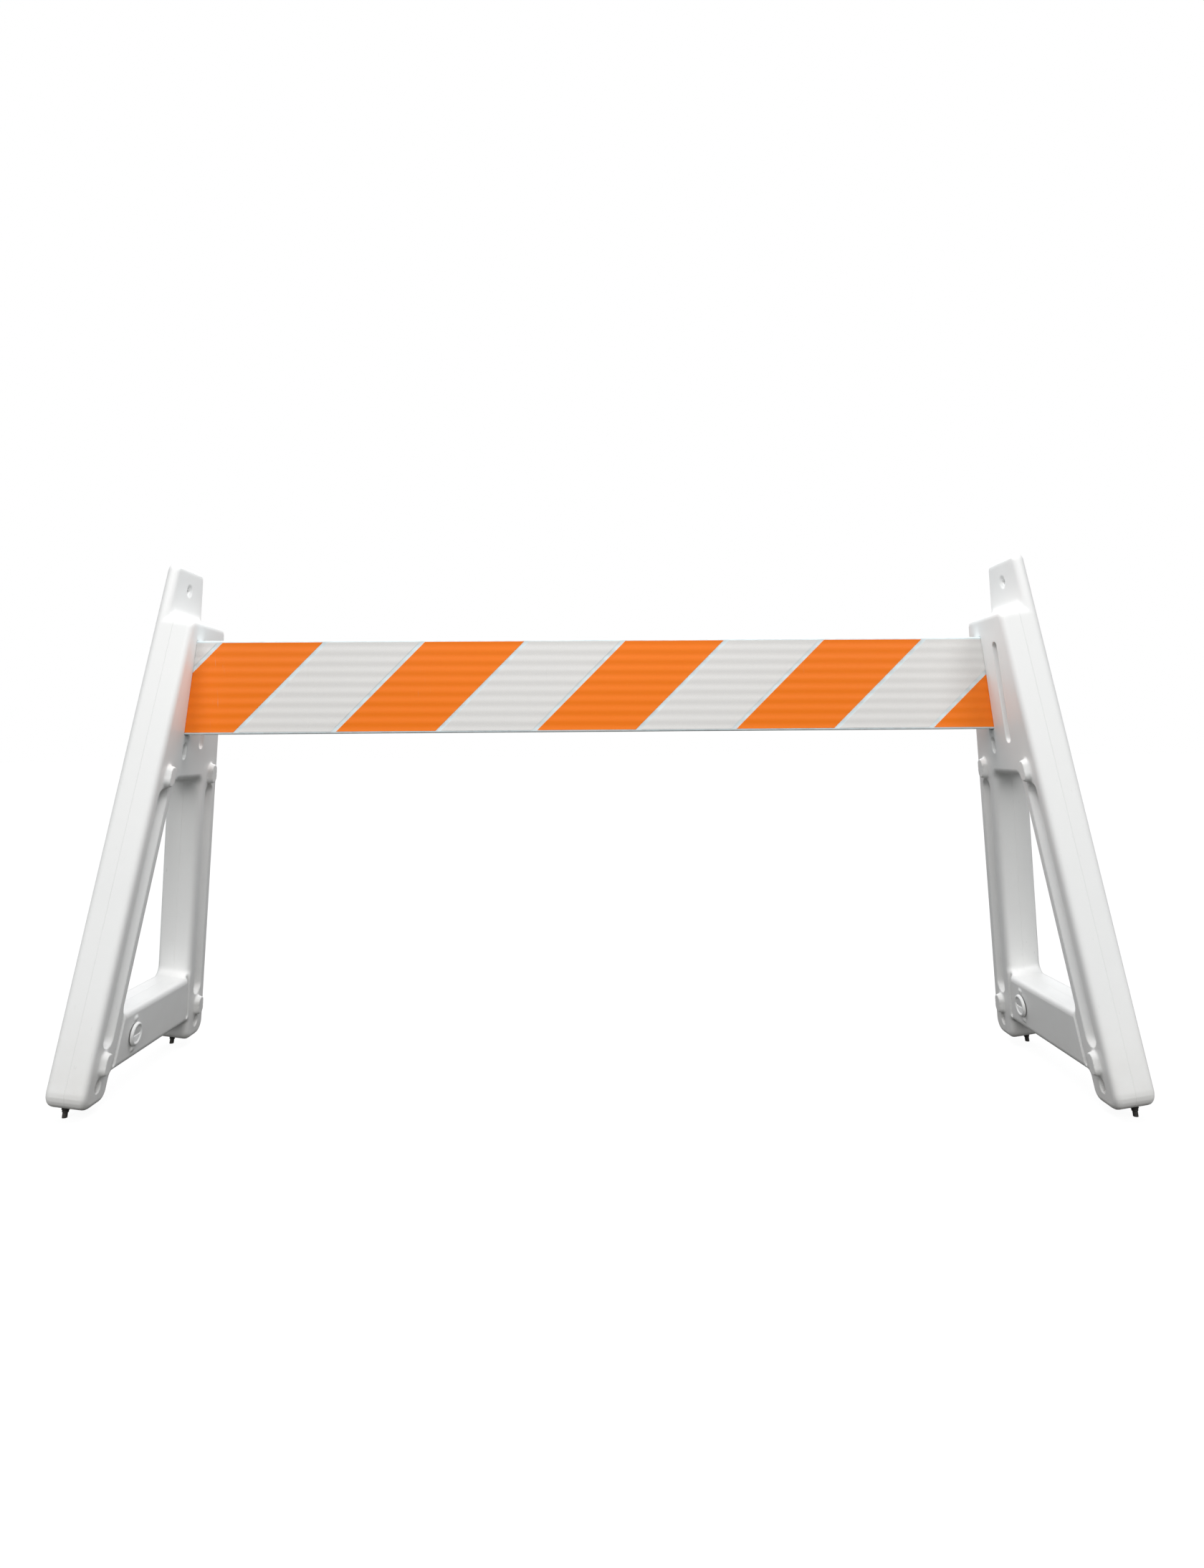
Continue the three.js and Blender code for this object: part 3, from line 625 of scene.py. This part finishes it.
frame_plastic, tree, shader, place = new_material("frame_polyethylene", 0.42)
grained = place_group(tree, moulded_skin, place, Grain_Size=0.0012, Ripple_Size=0.035)
worn = place_group(tree, handling_wear, place, Edge_Amount=0.5, Scuff_Amount=0.35)
dusty = place_group(tree, road_dust, place, Reach=0.28, Amount=0.35)
colour = mix_colour(tree, grained.outputs["Clouding"], (0.83, 0.835, 0.83), (0.89, 0.89, 0.88))
colour = mix_colour(tree, worn.outputs["Edge Mask"], colour, (0.66, 0.65, 0.63))
colour = mix_colour(tree, worn.outputs["Scuff Mask"], colour, (0.55, 0.54, 0.53))
colour = mix_colour(tree, dusty.outputs["Mask"], colour, (0.55, 0.50, 0.44))
tree.links.new(colour, shader.inputs["Base Color"])
rough = math_node(tree, "MULTIPLY_ADD", grained.outputs["Clouding"], 0.14, 0.36)
rough = math_node(tree, "MULTIPLY_ADD", dusty.outputs["Mask"], 0.4, rough)
tree.links.new(rough, shader.inputs["Roughness"])
shader.inputs["Subsurface Weight"].default_value = 0.08
shader.inputs["Subsurface Radius"].default_value = (0.006, 0.006, 0.006)
# The two mould halves meet in a fine raised line round the middle of the frame's edges.
SEAM_WIDTH = 0.0011
across = tree.nodes.new("ShaderNodeSeparateXYZ")
tree.links.new(place, across.inputs[0])
seam = math_node(tree, "DIVIDE", math_node(tree, "ABSOLUTE", across.outputs["X"]), SEAM_WIDTH)
seam = math_node(tree, "SUBTRACT", 1.0, seam, clamp=True)
relief = math_node(tree, "MULTIPLY_ADD", seam, 6.0, grained.outputs["Height"])
add_bump(tree, shader, relief, 0.00006)
mould.data.materials.append(frame_plastic)

for end, placed in PLACES.items():
    moulding = bpy.data.objects.new(f"{end}_frame_moulding", mould.data)
    bpy.context.scene.collection.objects.link(moulding)
    moulding.matrix_world = placed
    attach(moulding, f"{end}_frame")
    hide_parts(f"{end}_a_frame")
bpy.data.objects.remove(mould)

# ---- ballast fill caps ----
# A coin-slotted screw cap, injection moulded in the same white, closes the sand filler in each brace.
# A coarse thread runs round its hollow neck.
SEAL_THICKNESS = 0.002
FIT = 0.0003
NECK_RADIUS = 0.019
NECK_END = HALF_THICKNESS - 0.013
FLANGE_BACK = HALF_THICKNESS + SEAL_THICKNESS + 2 * FIT
FLANGE_FRONT = FLANGE_BACK + 0.006
THREAD_LEAD = 0.006
THREAD_HEIGHT = 0.00045
NECK_WALL = 0.003
NECK_CHAMFER = 0.0006
COIN_SLOT_HALF_LENGTH = 0.0165
COIN_SLOT_HALF_WIDTH = 0.003
COIN_SLOT_DEPTH = 0.004


def soften(piece, angle=35):
    """Shades a piece smooth, apart from edges sharper than the angle."""
    body = bmesh.new()
    body.from_mesh(piece.data)
    for face in body.faces:
        face.smooth = True
    for rim in body.edges:
        rim.smooth = rim.calc_face_angle(0) < math.radians(angle)
    body.to_mesh(piece.data)
    body.free()


def ease_edges(piece, width):
    """Bevels a piece's sharp edges and shades the rest smooth."""
    bevel = piece.modifiers.new("ease", "BEVEL")
    bevel.width = width
    bevel.segments = 2
    bevel.limit_method = "ANGLE"
    bevel.angle_limit = math.radians(35)
    bevel.use_clamp_overlap = True
    bake_modifiers(piece)
    soften(piece, 50)


def thread(radius, start, end, centre, steps=40):
    """A helical ridge of trapezoid section round an axis along X."""
    body = bmesh.new()
    crest = [(THREAD_HEIGHT, -0.0004), (THREAD_HEIGHT, 0.0004)]
    section = [(-0.0002, -0.0011), *crest, (-0.0002, 0.0011)]
    turns = (end - start) / THREAD_LEAD
    count = int(turns * steps)
    rings = []
    for k in range(count + 1):
        angle = 2 * math.pi * turns * k / count
        x = start + (end - start) * k / count
        taper = min(1, k / 6, (count - k) / 6)
        ring = []
        for out, along in section:
            r = radius + (out * taper if out > 0 else out)
            v, w = centre[0] + r * math.cos(angle), centre[1] + r * math.sin(angle)
            ring.append(body.verts.new((x + along, v, w)))
        rings.append(ring)
    for a, b in zip(rings, rings[1:]):
        for i in range(len(section)):
            body.faces.new((a[i - 1], a[i], b[i], b[i - 1]))
    body.faces.new(rings[0])
    body.faces.new(rings[-1])
    bmesh.ops.recalc_face_normals(body, faces=body.faces)
    return body


RIM = 0.0042  # radius of the flange's rounded edge
rim_turn = [math.pi / 2 * (1 - k / 6) for k in range(7)]
cap_body = turned(
    [
        (0, FLANGE_BACK + 0.001),
        (NECK_RADIUS - NECK_WALL, FLANGE_BACK + 0.001),
        (NECK_RADIUS - NECK_WALL, NECK_END),
        (NECK_RADIUS - NECK_CHAMFER, NECK_END),
        (NECK_RADIUS, NECK_END + NECK_CHAMFER),
        (NECK_RADIUS, FLANGE_BACK),
        (CAP_RADIUS, FLANGE_BACK),
        *[(CAP_RADIUS - RIM * (1 - math.sin(a)), FLANGE_FRONT - RIM * (1 - math.cos(a))) for a in rim_turn],
        (CAP_RADIUS - RIM - 0.0020, FLANGE_FRONT - 0.0006),
        (CAP_RADIUS - RIM - 0.0036, FLANGE_FRONT - 0.0024),
        (0, FLANGE_FRONT - 0.0020),
    ],
    CAP_CENTRE,
    96,
)
cap = add_piece("cap_mould", cap_body)
slot_half = Vector((0, COIN_SLOT_HALF_LENGTH, COIN_SLOT_HALF_WIDTH))
slot_low = Vector((FLANGE_FRONT - COIN_SLOT_DEPTH, *CAP_CENTRE)) - slot_half
slot_high = Vector((FLANGE_FRONT + 0.001, *CAP_CENTRE)) + slot_half
combine(cap, [box_body(slot_low, slot_high)], "DIFFERENCE")
ridge_body = thread(NECK_RADIUS, NECK_END + 0.0015, FLANGE_BACK - 0.0020, CAP_CENTRE)
combine(cap, [ridge_body], "UNION")
ease_edges(cap, 0.0003)

cap_plastic, tree, shader, place = new_material("cap_polyethylene", 0.38)
grained = place_group(tree, moulded_skin, place, Grain_Size=0.0006, Ripple_Size=0.012)
worn = place_group(tree, handling_wear, place, Edge_Amount=0.7, Scuff_Amount=0.6)
colour = mix_colour(tree, grained.outputs["Clouding"], (0.88, 0.88, 0.87), (0.93, 0.93, 0.92))
colour = mix_colour(tree, worn.outputs["Edge Mask"], colour, (0.60, 0.59, 0.58))
colour = mix_colour(tree, worn.outputs["Scuff Mask"], colour, (0.52, 0.51, 0.50))
tree.links.new(colour, shader.inputs["Base Color"])
rough = math_node(tree, "MULTIPLY_ADD", worn.outputs["Scuff Mask"], 0.3, 0.36)
tree.links.new(rough, shader.inputs["Roughness"])
add_bump(tree, shader, grained.outputs["Height"], 0.00003)
cap.data.materials.append(cap_plastic)

for end, placed in PLACES.items():
    screwed = bpy.data.objects.new(f"{end}_cap_moulding", cap.data)
    bpy.context.scene.collection.objects.link(screwed)
    screwed.matrix_world = placed
    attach(screwed, f"{end}_cap")
    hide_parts(f"{end}_fill_cap")
bpy.data.objects.remove(cap)

# ---- cap seals ----
# A soft black rubber ring with a rounded rim is stretched over each cap's neck and nips under the flange.
SEAL_OUTER = CAP_RADIUS - 0.0015
SEAL_INNER = NECK_RADIUS + FIT
seal_back = HALF_THICKNESS + FIT
rim_arc = [math.pi * (k / 8 - 0.5) for k in range(9)]
seal_radius = SEAL_THICKNESS / 2
seal_profile = [(SEAL_INNER, seal_back), (SEAL_INNER, seal_back + SEAL_THICKNESS)]
for angle in rim_arc:
    out = SEAL_OUTER - seal_radius + seal_radius * math.cos(angle)
    seal_profile.append((out, seal_back + seal_radius - seal_radius * math.sin(angle)))
seal = add_piece("seal_ring", turned(seal_profile, CAP_CENTRE, 96))
soften(seal)

seal_rubber, tree, shader, place = new_material("seal_rubber", 0.6)
grained = place_group(tree, moulded_skin, place, Grain_Size=0.0004, Ripple_Size=0.006)
colour = mix_colour(tree, grained.outputs["Clouding"], (0.018, 0.018, 0.019), (0.035, 0.034, 0.033))
tree.links.new(colour, shader.inputs["Base Color"])
rough = math_node(tree, "MULTIPLY_ADD", grained.outputs["Clouding"], 0.2, 0.5)
tree.links.new(rough, shader.inputs["Roughness"])
add_bump(tree, shader, grained.outputs["Height"], 0.00003)
seal.data.materials.append(seal_rubber)

for end, placed in PLACES.items():
    ring = bpy.data.objects.new(f"{end}_seal_ring", seal.data)
    bpy.context.scene.collection.objects.link(ring)
    ring.matrix_world = placed
    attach(ring, f"{end}_seal")
    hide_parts(f"{end}_cap_seal")
bpy.data.objects.remove(seal)

# ---- foot studs ----
# A black rubber stud is pressed into the end of each leg. It tapers to a small flat tip that bites on
# the road, with ribs moulded round its flank.
STUD_AT = -0.013  # towards the frame's outer face
STUD_TOP_RADIUS = 0.009
STUD_TIP_RADIUS = 0.005
STUD_SHANK_RADIUS = 0.006
STUD_SHANK_TOP = FOOT_BOTTOM + 0.016
STUD_RIBS = 3
STUD_COLLAR = 0.003
STUD_OVERRUN = 0.012  # below the ground's plane, where the tip is then cut off level
flank_top = FOOT_BOTTOM - FIT - STUD_COLLAR
stud_profile = [(0, -STUD_OVERRUN), (STUD_TIP_RADIUS, -STUD_OVERRUN), (STUD_TIP_RADIUS, 0)]
for rib in range(STUD_RIBS):
    for share, groove in ((0.15, 0), (0.35, 0.0007), (0.65, 0.0007), (0.85, 0)):
        along = (rib + share) / STUD_RIBS
        radius = STUD_TIP_RADIUS + (STUD_TOP_RADIUS - STUD_TIP_RADIUS) * along - groove
        stud_profile.append((radius, flank_top * along))
stud_profile += [
    (STUD_TOP_RADIUS, flank_top),
    (STUD_TOP_RADIUS, FOOT_BOTTOM - FIT),
    (STUD_SHANK_RADIUS, FOOT_BOTTOM - FIT),
    (STUD_SHANK_RADIUS, STUD_SHANK_TOP),
    (0, STUD_SHANK_TOP),
]
stud_shape = turned(stud_profile, (0, 0), 48)
stud_shape.transform(Matrix.Rotation(-math.pi / 2, 4, "Y"))  # from lying along X to standing along w
stud = add_piece("stud", stud_shape)
ground = box_body((-0.1, -0.1, -0.1), (0.1, 0.1, 0))
under_sole = left_place @ Matrix.Translation((STUD_AT, 0, 0))
ground.transform((Matrix.Translation((0, 0, under_sole.translation.z)) @ lean).inverted())
combine(stud, [ground], "DIFFERENCE")
ease_edges(stud, 0.0004)

stud_rubber, tree, shader, place = new_material("stud_rubber", 0.75, 0.35)
grained = place_group(tree, moulded_skin, place, Grain_Size=0.0007, Ripple_Size=0.008)
dusty = place_group(tree, road_dust, place, Reach=0.03, Amount=0.6)
colour = mix_colour(tree, grained.outputs["Clouding"], (0.012, 0.012, 0.012), (0.03, 0.029, 0.028))
colour = mix_colour(tree, dusty.outputs["Mask"], colour, (0.12, 0.11, 0.10))
tree.links.new(colour, shader.inputs["Base Color"])
rough = math_node(tree, "MULTIPLY_ADD", dusty.outputs["Mask"], 0.2, 0.68)
tree.links.new(rough, shader.inputs["Roughness"])
add_bump(tree, shader, grained.outputs["Height"], 0.00006)
stud.data.materials.append(stud_rubber)

for end, placed in PLACES.items():
    for side in (-1, 1):
        under_leg = placed @ Matrix.Translation((STUD_AT, side * leg_middle(FOOT_BOTTOM), 0))
        row = "front" if under_leg.translation.y < 0 else "rear"
        pressed = bpy.data.objects.new(f"{end}_{row}_stud", stud.data)
        bpy.context.scene.collection.objects.link(pressed)
        pressed.matrix_world = under_leg
        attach(pressed, f"{end}_frame")
        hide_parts(f"{end}_{row}_foot_stud")
bpy.data.objects.remove(stud)

# ---- rail board ----
# The rail is a hollow plank extruded in bluish-white plastic. Thin ribs split it into cells, and its
# faces have sunk a little between them, which shows as soft level bands.
RAIL_CELLS = 9
RAIL_WALL = 0.003
RAIL_RIB = 0.0022
RAIL_CORNER = 0.003
CELL_CORNER = 0.0015
SINK = 0.00042
rail_half = rail_high.y
cell_pitch = (rail_high.z - rail_low.z - 2 * RAIL_WALL + RAIL_RIB) / RAIL_CELLS
first_rib = rail_low.z + RAIL_WALL - RAIL_RIB / 2


def rail_face(z):
    """How far the rail's face stands from its middle at height z."""
    return rail_half - SINK * (1 - math.cos(2 * math.pi * (z - first_rib) / cell_pitch)) / 2


BAND_STEPS = 8
band_levels = []
for k in range(RAIL_CELLS * BAND_STEPS + 1):
    level = first_rib + cell_pitch * k / BAND_STEPS
    if rail_low.z + RAIL_CORNER < level < rail_high.z - RAIL_CORNER:
        band_levels.append(level)


def corner_arc(side, up):
    """Points round one of the rail's long edges, from its level face to its upright one or back."""
    edge_z = rail_high.z if up > 0 else rail_low.z
    centre = (side * (rail_half - RAIL_CORNER), edge_z - up * RAIL_CORNER)
    arc = []
    for k in range(5):
        angle = math.pi / 2 * k / 4
        y = centre[0] + side * RAIL_CORNER * math.sin(angle)
        arc.append((y, centre[1] + up * RAIL_CORNER * math.cos(angle)))
    return arc


rail_outline = corner_arc(1, -1)
rail_outline += [(rail_face(z), z) for z in band_levels]
rail_outline += corner_arc(1, 1)[::-1]
rail_outline += corner_arc(-1, 1)
rail_outline += [(-rail_face(z), z) for z in reversed(band_levels)]
rail_outline += corner_arc(-1, -1)[::-1]
reach = rail_half - RAIL_WALL
cells = []
for i in range(RAIL_CELLS):
    low = rail_low.z + RAIL_WALL + i * cell_pitch
    top = low + cell_pitch - RAIL_RIB
    around = [(-reach, low), (reach, low), (reach, top), (-reach, top)]
    cells.append(rounded([(y, z, CELL_CORNER) for y, z in around], 3))
rail_sections = [(x, [rail_outline, *cells]) for x in (rail_low.x, rail_high.x)]
rail = add_piece("rail_plank", loft(rail_sections))
soften(rail, 30)

rail_plastic, tree, shader, place = new_material("rail_plastic", 0.4)
grained = place_group(tree, moulded_skin, place, Grain_Size=0.0010, Ripple_Size=0.02)
worn = place_group(tree, handling_wear, place, Edge_Amount=0.4, Scuff_Amount=0.3)
colour = mix_colour(tree, grained.outputs["Clouding"], (0.74, 0.84, 0.87), (0.80, 0.88, 0.90))
colour = mix_colour(tree, worn.outputs["Edge Mask"], colour, (0.62, 0.64, 0.64))
colour = mix_colour(tree, worn.outputs["Scuff Mask"], colour, (0.50, 0.51, 0.51))
tree.links.new(colour, shader.inputs["Base Color"])
rough = math_node(tree, "MULTIPLY_ADD", worn.outputs["Scuff Mask"], 0.3, 0.38)
tree.links.new(rough, shader.inputs["Roughness"])
add_bump(tree, shader, grained.outputs["Height"], 0.00003)
rail.data.materials.append(rail_plastic)
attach(rail, "rail")
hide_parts("rail_board")

# ---- reflective stripes ----
# Each stripe is its own slanted panel of prismatic sheeting, die cut and rolled onto the rail, so that
# it follows the soft bands. A line of bare rail shows between two panels. Both faces carry the same set.
STRIPES = 5
SHEET_THICKNESS = 0.0005
SHEET_GAP = 0.0001
END_MARGIN = 0.001


def slanted_panel(shade, number):
    """One panel for the front face, as a sheet that follows the rail's bands."""
    second_low, second_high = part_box(f"front_{shade}_stripe_2")
    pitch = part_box(f"front_{shade}_stripe_3")[0].x - second_low.x
    start = second_low.x + (number - 2) * pitch
    rise = second_high.z - second_low.z
    width = second_high.x - second_low.x - rise
    body = bmesh.new()
    corners = [(start, second_low.z), (start + width, second_low.z)]
    corners += [(start + width + rise, second_high.z), (start + rise, second_high.z)]
    body.faces.new([body.verts.new((x, 0, z)) for x, z in corners])
    trims = (rail_low.x + END_MARGIN, rail_high.x - END_MARGIN)
    cuts = [((x, 0, 0), (math.copysign(1, x), 0, 0), True) for x in trims]
    cuts += [((0, 0, z), (0, 0, 1), False) for z in band_levels]
    for point, normal, clip in cuts:
        whole = body.verts[:] + body.edges[:] + body.faces[:]
        bmesh.ops.bisect_plane(body, geom=whole, plane_co=point, plane_no=normal, clear_outer=clip)
    for vert in body.verts:
        vert.co.y = -rail_face(vert.co.z) - SHEET_GAP
    front = bmesh.ops.extrude_face_region(body, geom=body.faces[:])
    for vert in front["geom"]:
        if isinstance(vert, bmesh.types.BMVert):
            vert.co.y -= SHEET_THICKNESS
    bmesh.ops.recalc_face_normals(body, faces=body.faces)
    return body


# Prismatic sheeting: a lattice of small sealed cells under a clear film, with glassy cubes inside them.
# Random tiny cells get a paler colour: painted sparkle, standing in for the cubes catching the light.
prism_lattice, lattice_in, lattice_out = new_group(
    "prism_lattice",
    [("Coordinate", VECTOR, None), ("Cell Size", FLOAT, 0.0045)],
    [("Height", FLOAT), ("Seal Line", FLOAT), ("Painted Sparkle", FLOAT)],
)
plane = lattice_in.outputs["Coordinate"]
turned_plane = prism_lattice.nodes.new("ShaderNodeVectorRotate")
turned_plane.rotation_type = "Y_AXIS"
turned_plane.inputs["Angle"].default_value = math.pi / 4
prism_lattice.links.new(plane, turned_plane.inputs["Vector"])
lattice_split = prism_lattice.nodes.new("ShaderNodeSeparateXYZ")
prism_lattice.links.new(turned_plane.outputs["Vector"], lattice_split.inputs[0])
seal_lines = []
for axis in ("X", "Z"):
    wave = math_node(prism_lattice, "DIVIDE", lattice_split.outputs[axis], lattice_in.outputs["Cell Size"])
    wave = math_node(prism_lattice, "PINGPONG", wave, 0.5)
    line = math_node(prism_lattice, "SUBTRACT", 0.07, wave)
    seal_lines.append(math_node(prism_lattice, "MULTIPLY", line, 16.0, clamp=True))
seal_line = math_node(prism_lattice, "MAXIMUM", *seal_lines)
cube = prism_lattice.nodes.new("ShaderNodeTexVoronoi")
cube.inputs["Scale"].default_value = 2200
prism_lattice.links.new(plane, cube.inputs["Vector"])
painted_sparkle_tone = prism_lattice.nodes.new("ShaderNodeSeparateColor")
prism_lattice.links.new(cube.outputs["Color"], painted_sparkle_tone.inputs[0])
prism_lattice.links.new(seal_line, lattice_out.inputs["Seal Line"])
prism_lattice.links.new(painted_sparkle_tone.outputs["Red"], lattice_out.inputs["Painted Sparkle"])
prism_lattice.links.new(math_node(prism_lattice, "SUBTRACT", 1.0, seal_line), lattice_out.inputs["Height"])

# Each sheet gives its deep colour, its paler painted sparkle colour and the colour of its seal lines.
SHEETS = {
    "orange": ((0.98, 0.185, 0.004), (1.0, 0.235, 0.008), (0.93, 0.25, 0.03)),
    "white": ((0.76, 0.745, 0.725), (0.84, 0.825, 0.805), (0.87, 0.86, 0.85)),
}
for shade, (deep, painted_sparkle_colour, sealed) in SHEETS.items():
    sheeting, tree, shader, place = new_material(f"{shade}_sheeting", 0.3)
    lattice = place_group(tree, prism_lattice, place, Cell_Size=0.0045)
    grained = place_group(tree, moulded_skin, place, Grain_Size=0.002, Ripple_Size=0.05)
    worn = place_group(tree, handling_wear, place, Edge_Amount=0.0, Scuff_Amount=0.25)
    # Painted sparkle: the paler colour in random tiny cells is a painted glint of the prism cubes.
    colour = mix_colour(tree, lattice.outputs["Painted Sparkle"], deep, painted_sparkle_colour)
    seal_tint = math_node(tree, "MULTIPLY", lattice.outputs["Seal Line"], 0.35)
    colour = mix_colour(tree, seal_tint, colour, sealed)
    colour = mix_colour(tree, worn.outputs["Scuff Mask"], colour, (0.55, 0.50, 0.46))
    tree.links.new(colour, shader.inputs["Base Color"])
    rough = math_node(tree, "MULTIPLY_ADD", grained.outputs["Clouding"], 0.12, 0.26)
    rough = math_node(tree, "MULTIPLY_ADD", worn.outputs["Scuff Mask"], 0.3, rough)
    tree.links.new(rough, shader.inputs["Roughness"])
    shader.inputs["Specular IOR Level"].default_value = 0.3
    shader.inputs["Coat Weight"].default_value = 0.12
    shader.inputs["Coat Roughness"].default_value = 0.12
    add_bump(tree, shader, lattice.outputs["Height"], 0.00002)
    for number in range(1, STRIPES + 1):
        shape = slanted_panel(shade, number)
        panel_mesh = bpy.data.meshes.new(f"{shade}_sheet_{number}")
        shape.to_mesh(panel_mesh)
        shape.free()
        panel_mesh.materials.append(sheeting)
        for face, turn in (("front", 0), ("rear", math.pi)):
            panel = bpy.data.objects.new(f"{face}_{shade}_sheet_{number}", panel_mesh)
            bpy.context.scene.collection.objects.link(panel)
            panel.rotation_euler.z = turn
            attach(panel, "rail")
            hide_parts(f"{face}_{shade}_stripe_{number}")
        soften(panel)

low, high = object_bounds()
